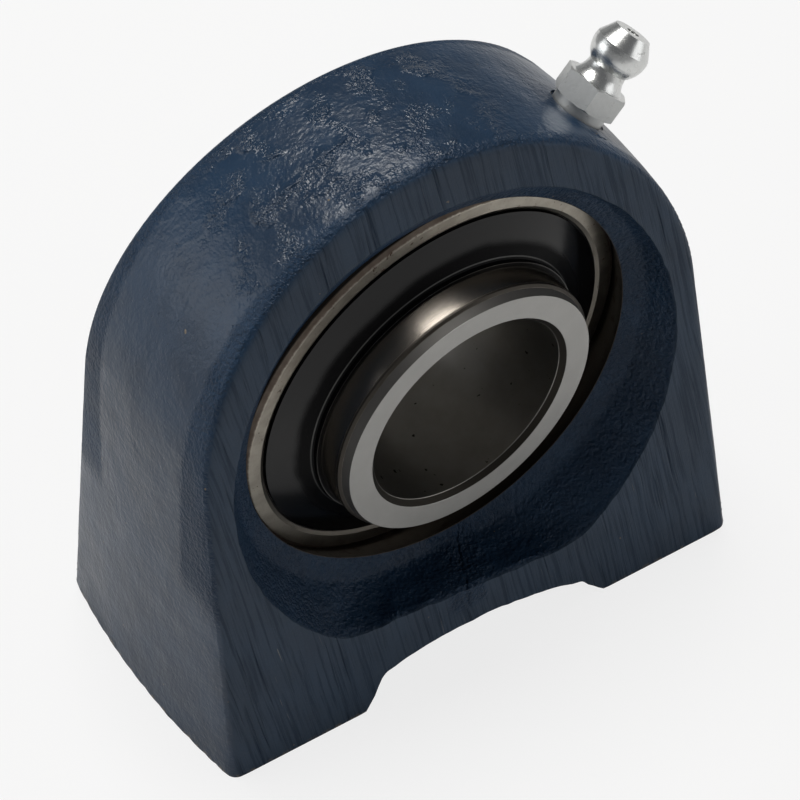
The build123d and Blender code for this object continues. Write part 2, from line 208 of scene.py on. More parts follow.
def sweep_mesh():
    """The sweep's section turned once round the bearing."""
    mesh = bmesh.new()
    low = cad_box[0][2]
    section = [Vector((0, 0, low)), Vector((sweep_flat * MM, 0, low))]
    for step in range(1, bend_steps + 1):
        a = step * pi / 2 / bend_steps
        away = sweep_flat + sweep_bend * sin(a)
        section.append(Vector((away * MM, 0, low + sweep_bend * (1 - cos(a)) * MM)))
    section.append(section[-1] + Vector((0, 0, sweep_wall * MM)))
    line = [mesh.verts.new(point) for point in section]
    edges = [mesh.edges.new(pair) for pair in zip(line, line[1:])]
    bmesh.ops.spin(mesh, geom=line + edges, axis=(0, 0, 1), angle=2 * pi, steps=sweep_sides)
    bmesh.ops.remove_doubles(mesh, verts=mesh.verts, dist=1e-5)
    bmesh.ops.recalc_face_normals(mesh, faces=mesh.faces)
    if min(mesh.faces, key=lambda f: f.calc_center_median().z).normal.z < 0:
        bmesh.ops.reverse_faces(mesh, faces=mesh.faces)
    for face in mesh.faces:
        face.smooth = True
    made = bpy.data.meshes.new("sweep")
    mesh.to_mesh(made)
    mesh.free()
    return made


def sweep_finish():
    finish = Finish("sweep_card")
    card = finish.node("ShaderNodeBsdfDiffuse", {}, {"Color": sweep_colour})[0]
    glow = finish.node("ShaderNodeEmission", {}, {"Color": (1, 1, 1, 1), "Strength": 1.0})[0]
    path = finish.node("ShaderNodeLightPath", {}, {})
    camera_ray, glossy_ray, transmission_ray = path[0], path[3], path[6]
    mirrored = glossy_ray.most(transmission_ray) * sweep_mirrored
    seen = (camera_ray * sweep_seen).most(mirrored)
    return finish.done(finish.cover(seen, card, glow))


sweep = bpy.data.objects.new("sweep", sweep_mesh())
sweep.data.materials.append(sweep_finish())
bpy.context.scene.collection.objects.link(sweep)

world = bpy.data.worlds.new("studio")
world.use_nodes = True
world.node_tree.nodes["Background"].inputs["Color"].default_value = sky_colour
world.node_tree.nodes["Background"].inputs["Strength"].default_value = sky_strength
bpy.context.scene.world = world


def softbox(name, place, wide, high, power, colour):
    """A rectangular lamp that faces the bearing."""
    light = bpy.data.lights.new(name, "AREA")
    light.shape = "RECTANGLE"
    light.size, light.size_y = wide * MM, high * MM
    light.energy = power
    light.color = colour
    lamp = bpy.data.objects.new(name, light)
    at = Vector(place) * MM
    lamp.matrix_world = Matrix.LocRotScale(at, at.to_track_quat("Z", "Y"), None)
    bpy.context.scene.collection.objects.link(lamp)


softbox("softbox_overhead", (25, 185, 675), 340, 300, 3.4, (1.0, 0.985, 0.96))
softbox("softbox_left", (-540, 300, 240), 430, 400, 0.8, (0.97, 0.985, 1.0))
softbox("card_right", (500, -480, 150), 500, 400, 0.58, (1.0, 1.0, 1.0))


# ---- housing ------------------------------------------------------------------------------
# One grey-iron casting, sand-cast, its two faces ground flat and then sprayed navy all over,
# so the paint lies thick and glossy on the rough crown and thin over the grinding marks.
# The seat, the filling slots, the base and the tapped holes are cut afterwards and stay bare.
base_depth, shaft_height = 36.0, 36.5
face_lean = radians(7)
seat_radius = 26.03
slot_half_width = 7.8
recess_rim = 35.0
ledge_start, ledge_end, ledge_outside = 9.3, 10.5, 26.63  # between the seat and the recess
dish_slope = tan(radians(31))
web_height, web_fall, web_blend = -26.0, 0.09, 1.8  # cuts the recess off over the arch
web_ripple, web_edge_drop = 0.3, 0.4
seam_place, seam_slant = -2.2, 0.45  # where the two halves of the recess's core met
bolt_spacing, drill_radius = 50.8, 4.25
thread_root = 5.0  # radius that the tap cuts out to, where the drill left the core
nipple_angle, nipple_offset, spot_radius = radians(46), 2.8, 3.5
longest_edge, few_edges = 1.2, 40  # how finely the casting's mesh is cut
side_top, skin_rounds, side_rounds = 6, 10, 50  # the skin is smoothed, and more below side_top
lump_size, lump_depth = 5.5, 0.08
ripple_size, ripple_depth = 2.3, 0.05
face_edge_wander, base_edge_wear = 0.2, 0.07
corner_angle, crease_angle = radians(25), radians(30)
touching = 0.05  # a point this close to a surface lies on it
navy = (0.0115, 0.0370, 0.0800, 1)
navy_deep = (0.0070, 0.0260, 0.0590, 1)
navy_dusty = (0.032, 0.058, 0.092, 1)
navy_groove = (0.0040, 0.0140, 0.0320, 1)
bare_iron, iron_rust = (0.040, 0.034, 0.029, 1), (0.040, 0.020, 0.011, 1)
iron_chip = (0.22, 0.17, 0.11, 1)
scratch_pale = (0.20, 0.19, 0.17, 1)


def ease(value, start, end):
    """0 before start, 1 after end, and smooth between them."""
    t = min(max((value - start) / (end - start), 0), 1)
    return t * t * (3 - 2 * t)


def above_face(point):
    """How far a point lies inside the ground face on its side."""
    lean = (point.z + shaft_height) * tan(face_lean)
    return (base_depth / 2 - lean - abs(point.y)) * cos(face_lean)


def from_hole(point):
    return Vector((abs(point.x) - bolt_spacing / 2, point.y)).length


def from_nipple(point):
    """Distance from the grease nipple's axis."""
    across = point.z * cos(nipple_angle) - point.x * sin(nipple_angle)
    return Vector((across, point.y + nipple_offset)).length


def in_foot(point):
    return point.z < -shaft_height / 2


def at_base(point):
    return point.z < -shaft_height + 0.01


def is_cut(point):
    """Seat, slots, tapped holes and base: surfaces that a tool made."""
    in_seat = point.length < seat_radius + 0.02
    in_hole = in_foot(point) and from_hole(point) < drill_radius + 1
    return in_seat or in_hole or at_base(point)


def web_rise(point):
    """How far a point of the recess is lifted on to the web over the arch in the base."""
    dish = ledge_outside + max(abs(point.y) - ledge_end, 0) * dish_slope
    out = Vector((point.x, point.z)).length
    if abs(point.y) < ledge_start or out > dish + 2 * touching:
        return 0
    floor = web_height - web_fall * point.x + web_ripple * noise.noise(point / ripple_size)
    if above_face(point) < touching:
        floor -= web_edge_drop
    below = floor - point.z + web_blend
    bent = min(max(below, 0), 2 * web_blend)
    return bent * bent / (4 * web_blend) + max(below - 2 * web_blend, 0)


def is_outside(v):
    """On the crown or the sides, clear of the edges that the tools left."""
    axis_out = Vector((v.co.x, 0, v.co.z)).normalized()
    clear = above_face(v.co) > 0.7 and v.co.z > -shaft_height + 1.5
    if v.co.z > 0 and v.co.x > 0:
        clear = clear and from_nipple(v.co) > spot_radius + 2
    return clear and v.normal.dot(axis_out) > 0.5


def sand_depth(point):
    """How far the rough skin lies under its true surface, 0 where a tool has been."""
    rough = ease(point.length, seat_radius + 0.3, seat_radius + 2.2)
    if point.z > 0 and point.x > 0:
        rough *= ease(from_nipple(point), spot_radius + 0.5, spot_radius + 2)
    rough *= ease(point.z, -shaft_height, -shaft_height + 0.8)
    rough *= ease(above_face(point), touching, 0.9)
    lumps = 0.5 + 0.5 * noise.noise(point / lump_size)
    ripples = 0.5 + 0.5 * noise.noise(point / ripple_size + Vector((7, 3, 1)))
    return rough * (lump_depth * lumps + ripple_depth * ripples)


def bore_wall(point):
    """From a point on a tapped hole's drilled wall out to where the tap cuts."""
    centre = Vector((bolt_spacing / 2 if point.x > 0 else -bolt_spacing / 2, 0, point.z))
    return (point - centre).normalized() * thread_root - (point - centre)


def skin_move(v, on_corner):
    """How the foundry, the grinder and the tap move a point of the housing."""
    point = v.co
    if in_foot(point) and abs(from_hole(point) - drill_radius) < touching:
        return bore_wall(point)
    if is_cut(point) and not (on_corner and at_base(point)):
        return Vector()
    if at_base(point):
        if from_hole(point) <= drill_radius + 2:
            return Vector()
        worn = base_edge_wear + base_edge_wear * noise.noise(point / 3.5)
        return Vector((v.normal.x, v.normal.y, 0)).normalized() * -worn
    if on_corner and above_face(point) < touching:
        worn = face_edge_wander * ease(point.z, -shaft_height, -shaft_height + 1)
        across, up = noise.noise(point / 1.6), noise.noise(point / 1.6 + Vector((5, 5, 5)))
        return Vector((across, 0, up)) * worn
    return -v.normal * sand_depth(point)


def housing_casting():
    """A finer copy of the housing's surface with the foundry's sand skin pressed into it."""
    shape = bmesh.new()
    shape.from_mesh(nodes["housing"].data)
    bmesh.ops.scale(shape, vec=(1 / MM,) * 3, verts=shape.verts)
    bmesh.ops.remove_doubles(shape, verts=shape.verts, dist=1e-3)
    while True:
        rough = [e for e in shape.edges if not all(is_cut(v.co) for v in e.verts)]
        long_edges = [e for e in rough if e.calc_length() > longest_edge]
        if len(long_edges) < few_edges:
            break
        bmesh.ops.subdivide_edges(shape, edges=long_edges, cuts=1)
        open_faces = [f for f in shape.faces if len(f.verts) > 3]
        bmesh.ops.triangulate(shape, faces=open_faces, quad_method="SHORT_EDGE")
    for v in shape.verts:
        rise = web_rise(v.co)
        v.co.z += rise
        v.co.y -= rise * tan(face_lean) * (1 if v.co.y > 0 else -1)
    shape.normal_update()
    outside = [v for v in shape.verts if is_outside(v)]
    sides = [v for v in outside if v.co.z < side_top]
    for soft, rounds in ((outside, skin_rounds), (sides, side_rounds)):
        for _ in range(rounds):
            bmesh.ops.smooth_vert(
                shape, verts=soft, factor=0.5, use_axis_x=True, use_axis_y=True, use_axis_z=True
            )
    shape.normal_update()
    corners = {v for e in shape.edges if e.calc_face_angle(0) > corner_angle for v in e.verts}
    moves = [(v, skin_move(v, v in corners)) for v in shape.verts]
    for v, move in moves:
        v.co += move
    for face in shape.faces:
        face.smooth = True
    for edge in shape.edges:
        edge.smooth = edge.calc_face_angle(0) < crease_angle
    bmesh.ops.scale(shape, vec=(MM,) * 3, verts=shape.verts)
    made = bpy.data.meshes.new("housing_casting")
    shape.to_mesh(made)
    shape.free()
    return made


def housing_finish():
    finish = Finish("painted_casting")
    at = finish.place()
    x, y, z = finish.parts(at)
    side = abs(y)
    out = finish.length(finish.vector(x, 0, z))

    # where the casting was machined
    under_face = base_depth / 2 - (z + shaft_height) * tan(face_lean) - side
    over_base = z + shaft_height
    ragged = finish.grain(at, 0.45, 3, 0.6) - 0.5
    ground = finish.fade(under_face + ragged * 0.25, 0.34, 0.10)
    seat = finish.fade(finish.length(at), seat_radius + 0.10, seat_radius + 0.04)
    slot = finish.fade(abs(z), slot_half_width + 0.06, slot_half_width + 0.02)
    slot = slot * finish.fade(out, seat_radius + 0.06, seat_radius + 0.02)
    slot = slot * finish.fade(y, -0.1, 0.0)
    hole = finish.length(finish.vector(abs(x) - bolt_spacing / 2, y, 0))
    hole = finish.fade(hole, drill_radius + 1.0, drill_radius + 0.9)
    hole = hole * finish.fade(over_base, 24, 22)
    base = finish.fade(over_base + ragged * 0.3, 0.10, 0.02)
    bare = seat.most(slot).most(hole).most(base)

    # the joint in the recess's core, and the sand that broke out along it
    wander = finish.grain(at, 1.6, 2) - 0.5
    from_seam = abs(x - seam_place - (base_depth / 2 - side) * seam_slant + wander * 1.2)
    under_seat = finish.fade(z, -23.5, -25) * finish.fade(y, -9, -10)
    crumbs = finish.fade(from_seam + wander * 3, 3.4, 1.6) * finish.fade(z, -29.5, -28)
    crumbs = crumbs * under_seat
    seam = finish.fade(from_seam, 0.36, 0.05) * finish.fade(z, -30, -28.5) * under_seat
    seam = seam * finish.fade(finish.grain(at, 1.1, 2), 0.36, 0.5)
    ground = ground * (1 - crumbs * 0.8)

    # rough cast paint: sand grain under a glossy coat, coarser where the mould had crumbled
    lumps = finish.grain(at, 4.0, 2)
    peel = finish.grain(at, 0.85, 3, 0.6) - 0.5
    stipple = finish.grain(at, 0.45, 2, 0.55) - 0.5
    pits = finish.fade(finish.grain(at, 0.62, 2, 0.5), 0.68, 0.80)
    crumbled = finish.fade(out, 30, 31) * finish.fade(x, -25, -17) * finish.fade(x, 14, 6)
    crumbled = crumbled * finish.fade(y, -16.5, -14.5) * finish.fade(z, 8, 14)
    clusters = finish.fade(finish.grain(finish.vector(x + 40, y, z), 3.6, 1), 0.44, 0.64)
    crumbled = crumbled * clusters.most(finish.fade(y, -9.5, -13.0) * 0.8)
    blobs = finish.grain(finish.vector(x, y * 1.5, z), 3.0, 1)
    scabs = finish.fade(blobs, 0.46, 0.68) * crumbled
    hollow = finish.fade(out, recess_rim + 1, recess_rim - 1) * finish.fade(side, 8, 9)
    cast_relief = lumps * 0.16 + peel * (0.09 + crumbled * 0.12 + hollow * 0.24) + scabs * 0.24
    stippled = stipple * (0.05 + crumbled * 0.30 + hollow * 0.24 + crumbs * 0.3)
    cast_relief = cast_relief + stippled - pits * 0.08 - seam * 0.3

    # grinding marks, up and down the faces
    sway = finish.grain(finish.vector(x, y, z * 0.3), 6.0, 2)
    combed = finish.vector(x + z * 0.14 + sway, y * 0.02, z * 0.03)
    streaks = finish.grain(combed, 0.45, 4, 0.7)
    gouges = finish.fade(finish.grain(combed, 0.6, 3, 0.6), 0.60, 0.72)
    broad = finish.grain(finish.vector(x, y * 0.1, z * 0.10), 2.6, 2)
    ground_relief = streaks * 0.13 - gouges * 0.08 + broad * 0.06 + stipple * 0.03
    relief = cast_relief + (ground_relief - cast_relief) * ground

    # colour
    patch = finish.grain(at, 9, 3, 0.6)
    paint = finish.tint(finish.fade(patch, 0.35, 0.65), navy, navy_deep)
    dust = finish.fade(finish.grain(at, 1.4, 4, 0.7), 0.55, 0.78) * 0.35
    paint = finish.tint(dust, paint, navy_dusty)
    edge = finish.fade(over_base, 0.55, 0.1) * finish.fade(finish.grain(at, 0.8, 3), 0.5, 0.62)
    chips = finish.fade(finish.grain(at, 1.1, 2), 0.765, 0.79)
    paint = finish.tint(edge.most(chips) * 0.8, paint, iron_chip)

    wet = finish.fade(finish.grain(at, 7.0, 2), 0.40, 0.62)
    normal = finish.bump(relief)
    cast = finish.gloss(
        Base_Color=paint,
        Roughness=0.33 - wet * 0.05 + hollow * 0.04,
        Coat_Weight=hollow * 0.25,
        Coat_Roughness=0.09,
        Normal=normal,
    )
    thick = finish.gloss(
        Base_Color=finish.tint(0.5, paint, navy_deep), Roughness=0.12, Normal=normal
    )
    cast = finish.cover(crumbled * 0.9, cast, thick)
    scratches = finish.fade(finish.grain(combed, 0.26, 1), 0.76, 0.80)
    scratches = scratches * finish.fade(finish.grain(at, 5.0, 1), 0.50, 0.60)
    thin = finish.tint(0.34, paint, navy_dusty)
    flat = finish.gloss(
        Base_Color=finish.tint(scratches * 0.7, thin, scratch_pale),
        Roughness=0.45 + streaks * 0.2,
        Normal=normal,
    )
    groove = finish.gloss(
        Base_Color=navy_groove, Roughness=0.7, Specular_IOR_Level=0.1, Normal=normal
    )
    dull = finish.gloss(Base_Color=paint, Roughness=0.6, Specular_IOR_Level=0.2, Normal=normal)
    lines = finish.fade(streaks, 0.54, 0.38) * 0.42 + gouges * 0.35
    flat = finish.cover(lines, flat, groove)
    painted = finish.cover(ground, finish.cover(hollow * 0.7, cast, dull), flat)

    # bare iron: turned rings on the seat, with a trace of rust
    rings = finish.grain(finish.vector(out * 6, y * 6, 0), 1.0, 3, 0.7)
    rust = finish.fade(finish.grain(at, 1.6, 4, 0.65), 0.52, 0.7)
    iron_colour = finish.tint(rust * 0.7, bare_iron, iron_rust)
    iron = finish.gloss(
        Base_Color=iron_colour,
        Metallic=0.9 - rust * 0.5,
        Roughness=0.42 + rust * 0.3,
        Normal=finish.bump(rings * 0.02 + stipple * 0.01),
    )
    return finish.done(finish.cover(bare, painted, iron))


def fit(name, mesh, material, body):
    """Puts a piece in the place of the node it was copied from."""
    piece = bpy.data.objects.new(mesh.name, mesh)
    mesh.materials.append(material)
    bpy.context.scene.collection.objects.link(piece)
    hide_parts(name)
    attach(piece, body)


painted_casting = housing_finish()
fit("housing", housing_casting(), painted_casting, "housing")


# ---- tapped holes -------------------------------------------------------------------------
# M10 threads cut into the two feet from below, bare iron like the rest of the base. One ridge
# winds up the wall of each hole, and the drill's cone lies above it.
thread_pitch, thread_turns, thread_start = 1.5, 11, 1.2
thread_steps, flanks = 36, 3  # points to a turn, and corners of the ridge
ridge_turn = pi  # sets the ridge's sharp corner towards the hole's axis


def thread_tree():
    """A ridge of triangular section wound up each of the two holes."""
    tree = bpy.data.node_groups.new("tapped_thread", "GeometryNodeTree")
    socket = tree.interface.new_socket
    socket("Geometry", in_out="INPUT", socket_type="NodeSocketGeometry")
    socket("Geometry", in_out="OUTPUT", socket_type="NodeSocketGeometry")
    for name in ("Pitch", "Turns", "Radius", "Spacing", "Start"):
        socket(name, in_out="INPUT", socket_type="NodeSocketFloat")
    socket("Material", in_out="INPUT", socket_type="NodeSocketMaterial")
    given = tree.nodes.new("NodeGroupInput").outputs

    def node(kind, sockets, **settings):
        made = tree.nodes.new(kind)
        for name, value in settings.items():
            setattr(made, name, value)
        for key, value in sockets.items():
            if isinstance(value, bpy.types.NodeSocket):
                tree.links.new(value, made.inputs[key])
            else:
                made.inputs[key].default_value = value
        return made.outputs[0] if made.outputs else None

    def product(a, b):
        return node("ShaderNodeMath", {0: a, 1: b}, operation="MULTIPLY")

    height = product(given["Pitch"], given["Turns"])
    sockets = {"Resolution": thread_steps, "Rotations": given["Turns"], "Height": height}
    sockets.update({"Start Radius": given["Radius"], "End Radius": given["Radius"]})
    helix = node("GeometryNodeCurveSpiral", sockets)
    helix = node("GeometryNodeSetCurveNormal", {"Curve": helix}, mode="Z_UP")
    sockets = {"Resolution": flanks, "Radius": product(given["Pitch"], 0.5)}
    section = node("GeometryNodeCurvePrimitiveCircle", sockets)
    sockets = {"Geometry": section, "Rotation": (0, 0, ridge_turn)}
    section = node("GeometryNodeTransform", sockets)
    sockets = {"Curve": helix, "Profile Curve": section, "Fill Caps": True}
    ridge = node("GeometryNodeCurveToMesh", sockets)
    first = node("ShaderNodeCombineXYZ", {0: product(given["Spacing"], -0.5), 2: given["Start"]})
    step = node("ShaderNodeCombineXYZ", {0: given["Spacing"]})
    sockets = {"Count": 2, "Start Location": first, "Offset": step}
    points = node("GeometryNodeMeshLine", sockets)
    both = node("GeometryNodeInstanceOnPoints", {"Points": points, "Instance": ridge})
    both = node("GeometryNodeRealizeInstances", {"Geometry": both})
    both = node("GeometryNodeSetMaterial", {"Geometry": both, "Material": given["Material"]})
    node("NodeGroupOutput", {"Geometry": both})
    return tree


def wound(name, tree, values):
    """The plain mesh that a tree makes from the values of its named inputs."""
    maker = bpy.data.objects.new(name, bpy.data.meshes.new(name))
    bpy.context.scene.collection.objects.link(maker)
    modifier = maker.modifiers.new(name, "NODES")
    modifier.node_group = tree
    for item in tree.interface.items_tree:
        if item.in_out == "INPUT" and item.name in values:
            modifier[item.identifier] = values[item.name]
    seen = maker.evaluated_get(bpy.context.evaluated_depsgraph_get())
    mesh = bpy.data.meshes.new_from_object(seen)
    maker.modifiers.clear()
    bpy.data.objects.remove(maker)
    return mesh


thread_values = {
    "Pitch": thread_pitch * MM,
    "Turns": float(thread_turns),
    "Radius": thread_root * MM,
    "Spacing": bolt_spacing * MM,
    "Start": (thread_start - shaft_height) * MM,
    "Material": painted_casting,
}
thread_mesh = wound("base_threads", thread_tree(), thread_values)
threads = bpy.data.objects.new("base_threads", thread_mesh)
bpy.context.scene.collection.objects.link(threads)
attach(threads, "housing")


# ---- outer ring ---------------------------------------------------------------------------
# Bearing steel, hardened and ground, its faces left with fine rings from the grinding. The
# rust preventive has run off in places and let small brown spots bloom. It swivels in the seat.
ring_warm_steel, ring_dull_steel = (0.42, 0.385, 0.33, 1), (0.32, 0.295, 0.25, 1)
# the second colour here is painted shade on the ring's outside, down in its gap to the seat,
# with some stain
lip_shade, stain_and_gap_shade = (0.12, 0.11, 0.095, 1), (0.022, 0.017, 0.012, 1)
# the brown of the rust, also laid on the rim's chamfer as painted shade at its gap to the seat
rust_and_shade_brown = (0.062, 0.028, 0.012, 1)
ring_face_inside, ring_face_outside = 22.95, 24.41
insert_swivel = next(joint for joint in frame["joints"] if joint["name"] == "insert_swivel")
insert_tilt = -radians(sum(insert_swivel["range_deg"]) / 2)


def square_place(finish):
    """Place on the insert, turned back to where it lies when it is square in its seat."""
    settings = {"rotation_type": "AXIS_ANGLE"}
    sockets = {0: finish.place(), 2: insert_swivel["axis"], 3: -insert_tilt}
    return finish.node("ShaderNodeVectorRotate", settings, sockets)[0]


def round_shaft(finish, x, y, z):
    """Readings that run round the shaft: distance out, and a vector for drawn-out grain."""
    out = finish.length(finish.vector(x, 0, z))
    about = x.math("ARCTAN2", x, z)
    return out, finish.vector(out, about * 1.4, y)


def turned_copy(name, rings):
    """A merged copy of a turned node with rings of its profile moved. Each is written as its
    radius and its place along the shaft, before and after."""
    square = Matrix.Rotation(-insert_tilt, 4, Vector(insert_swivel["axis"]))
    shape = bmesh.new()
    shape.from_mesh(nodes[name].data)
    bmesh.ops.transform(shape, matrix=square @ Matrix.Scale(1 / MM, 4), verts=shape.verts)
    bmesh.ops.remove_doubles(shape, verts=shape.verts, dist=1e-3)
    for v in shape.verts:
        out = Vector((v.co.x, v.co.z)).length
        for (radius, along), (new_radius, new_along) in rings:
            if abs(out - radius) < 0.02 and abs(v.co.y - along) < 0.02:
                grow = new_radius / out
                v.co = v.co.x * grow, new_along, v.co.z * grow
                break
    for face in shape.faces:
        face.smooth = True
    for edge in shape.edges:
        edge.smooth = edge.calc_face_angle(0) < corner_angle
    back = square.inverted() @ Matrix.Scale(MM, 4)
    bmesh.ops.transform(shape, matrix=back, verts=shape.verts)
    made = bpy.data.meshes.new(f"{name}_turned")
    shape.to_mesh(made)
    shape.free()
    return made


def outer_ring_finish():
    finish = Finish("outer_ring_steel")
    at = square_place(finish)
    x, y, z = finish.parts(at)
    side = abs(y)
    out, round_at = round_shaft(finish, x, y, z)
    rings = finish.grain(round_at, 0.16, 3, 0.6)
    wander = finish.grain(at, 2.4, 3, 0.6)
    bloom = finish.fade(finish.grain(at, 1.1, 4, 0.7), 0.60, 0.68)
    specks = finish.fade(finish.grain(at, 0.28, 2, 0.6), 0.69, 0.74)
    ragged = finish.grain(at, 0.5, 3, 0.6) * 0.3
    rim = finish.fade(out + ragged, ring_face_outside + 0.15, ring_face_outside + 0.35)
    lip = finish.fade(out, ring_face_inside + 0.02, ring_face_inside - 0.05)
    rust = (bloom * finish.fade(wander, 0.48, 0.62)).most(specks * 0.8)
    steel = finish.tint(finish.fade(wander, 0.3, 0.7), ring_warm_steel, ring_dull_steel)
    steel = finish.tint(lip * 0.75, steel, lip_shade)
    # the chamfer round the outside of the face is browned with the rust, partly as painted shade
    # at its gap to the seat
    rust = rust.most(rim * (0.55 + wander * 0.4))
    colour = finish.tint(rust, steel, rust_and_shade_brown)
    # painted shade: the ring's spherical outside, in its gap to the seat, is coloured near
    # black, with some stain
    sphere = finish.fade(out, ring_face_outside + 0.6, ring_face_outside + 0.7)
    sphere = sphere.most(finish.fade(side, 7.05, 6.95) * finish.fade(out, 24, 24.5))
    colour = finish.tint(sphere * 0.85, colour, stain_and_gap_shade)
    surface = finish.gloss(
        Base_Color=colour,
        Metallic=1 - rust * 0.7,
        Roughness=0.26 + rings * 0.12 + rust.most(sphere) * 0.35,
        Normal=finish.bump(rings * 0.006 + rust * 0.012),
    )
    return finish.done(surface)


# the chamfer inside each face is narrower than the solid's
rings = []
for way in (-1, 1):
    rings.append(((23.30, 7.5 * way), (ring_face_inside, 7.5 * way)))
    rings.append(((22.70, 7.0 * way), (22.50, 7.3 * way)))
fit("outer_ring", turned_copy("outer_ring", rings), outer_ring_finish(), "insert")


# ---- balls and cage -----------------------------------------------------------------------
# Nine lapped steel balls snapped into a ring of moulded nylon, off-white and slightly waxy,
# with the faint flow marks of the mould.
ball_bright, ball_hazy = (0.56, 0.56, 0.55, 1), (0.50, 0.50, 0.50, 1)
nylon_pale, nylon_deep = (0.58, 0.53, 0.42, 1), (0.50, 0.45, 0.34, 1)


def ball_finish():
    finish = Finish("ball_steel")
    at = square_place(finish)
    haze = finish.grain(at, 0.5, 3, 0.6)
    surface = finish.gloss(
        Base_Color=finish.tint(haze, ball_bright, ball_hazy),
        Metallic=1.0,
        Roughness=0.05 + haze * 0.05,
    )
    return finish.done(surface)


def cage_finish():
    finish = Finish("cage_nylon")
    at = square_place(finish)
    flow = finish.grain(at, 3.0, 3, 0.6)
    skin = finish.grain(at, 0.2, 2, 0.5)
    surface = finish.gloss(
        Base_Color=finish.tint(flow, nylon_pale, nylon_deep),
        Roughness=0.42 + flow * 0.15,
        Normal=finish.bump(skin * 0.01 + flow * 0.02),
    )
    return finish.done(surface)


ball_steel = ball_finish()
for name in nodes:
    if name.startswith("ball_"):
        dress(name, ball_steel)
dress("cage", cage_finish())


# ---- seals --------------------------------------------------------------------------------
# Nitrile rubber washers moulded in one with a light pressed-steel plate, snapped into the
# outer ring's grooves on both sides.
rubber_black, rubber_dusty = (0.008, 0.008, 0.009, 1), (0.035, 0.033, 0.03, 1)
plate_bright, plate_oiled = (0.34, 0.34, 0.33, 1), (0.22, 0.21, 0.19, 1)


def rubber_finish():
    finish = Finish("seal_rubber")
    at = square_place(finish)
    x, y, z = finish.parts(at)
    round_at = round_shaft(finish, x, y, z)[1]
    ribs = finish.grain(round_at, 0.3, 2)
    dust = finish.fade(finish.grain(at, 0.6, 4, 0.7), 0.5, 0.75)
    surface = finish.gloss(
        Base_Color=finish.tint(dust * 0.6, rubber_black, rubber_dusty),
        Roughness=0.45 + dust * 0.25,
        Normal=finish.bump(ribs * 0.02),
    )
    return finish.done(surface)


def seal_plate_finish():
    finish = Finish("seal_plate_steel")
    at = square_place(finish)
    x, y, z = finish.parts(at)
    round_at = round_shaft(finish, x, y, z)[1]
    rings = finish.grain(round_at, 0.25, 3)
    oil = finish.grain(at, 2.0, 3)
    surface = finish.gloss(
        Base_Color=finish.tint(oil, plate_bright, plate_oiled),
        Metallic=1.0,
        Roughness=0.25 + rings * 0.2,
        Normal=finish.bump(rings * 0.01),
    )
    return finish.done(surface)


seal_rubber, seal_plate_steel = rubber_finish(), seal_plate_finish()
for end in ("front", "back"):
    dress(f"seal_{end}", seal_rubber)
    dress(f"seal_plate_{end}", seal_plate_steel)


# ---- inner ring ---------------------------------------------------------------------------
# The long sleeve that the shaft slides into: bearing steel, its outside polished, its end
# faces ground bright and its bore honed and left with a film of oil and a few dark spots.
bore_radius, sleeve_radius = 12.5, 16.85
front_face, back_face = -14.3, 19.8
nose_radius, nose_end, step_end = 16.45, -13.27, -13.05
polished_light, polished_dark = (0.25, 0.225, 0.195, 1), (0.19, 0.17, 0.15, 1)
ground_light, ground_dark = (0.43, 0.425, 0.41, 1), (0.36, 0.355, 0.34, 1)
honed_light, honed_dark = (0.33, 0.32, 0.30, 1), (0.22, 0.21, 0.195, 1)
# the nose's grey and the brown are partly painted shade: the nose, the step behind it and the
# lead into the bore are darkened with them
nose_shade_grey, oil_and_shade_brown = (0.13, 0.127, 0.122, 1), (0.03, 0.027, 0.023, 1)


def inner_ring_finish():
    finish = Finish("inner_ring_steel")
    at = square_place(finish)
    x, y, z = finish.parts(at)
    out, round_at = round_shaft(finish, x, y, z)
    fine = finish.grain(round_at, 0.10, 3, 0.65)
    cloud = finish.grain(at, 3.0, 3, 0.6)
    in_bore = finish.fade(out, bore_radius + 0.08, bore_radius + 0.02)
    on_face = finish.fade(y, front_face + 0.05, front_face + 0.01)
    on_face = on_face.most(finish.fade(y, back_face - 0.05, back_face - 0.01))
    nose = finish.fade(y, nose_end + 0.04, nose_end - 0.04) * finish.fade(out, 15, 15.5)
    nose = nose * (1 - on_face)
    step = finish.fade(out + fine * 0.1, nose_radius + 0.02, nose_radius + 0.1)
    step = step * finish.fade(y, step_end + 0.35, step_end + 0.1)
    lead = finish.fade(out, bore_radius + 0.7, bore_radius + 0.6) * (1 - in_bore) * (1 - on_face)

    spots = finish.fade(finish.grain(at, 0.95, 2, 0.5), 0.71, 0.75) * in_bore
    specks = finish.fade(finish.grain(at, 0.26, 2, 0.6), 0.76, 0.80) * 0.5
    polished = finish.tint(cloud, polished_light, polished_dark)
    ground = finish.tint(cloud, ground_light, ground_dark)
    honed = finish.tint(cloud, honed_light, honed_dark)
    colour = finish.tint(in_bore, finish.tint(on_face, polished, ground), honed)
    # painted shade: the nose is coloured a darker grey than the polished sleeve
    colour = finish.tint(nose * 0.9, colour, nose_shade_grey)
    # painted shade in the step behind the nose and in the lead into the bore, with the real
    # spots and specks of the bore in the same brown
    dark = (step * 0.85).most(lead).most(spots).most(specks)
    colour = finish.tint(dark, colour, oil_and_shade_brown)
    rough = 0.21 + on_face * 0.13 + in_bore * 0.12 + nose * 0.3 + step * 0.2 + lead * 0.3
    surface = finish.gloss(
        Base_Color=colour,
        Metallic=1.0,
        Roughness=rough + fine * 0.08 + spots * 0.2,
        Normal=finish.bump(fine * (0.004 + in_bore * 0.003) + spots * 0.01),
    )
    return finish.done(surface)


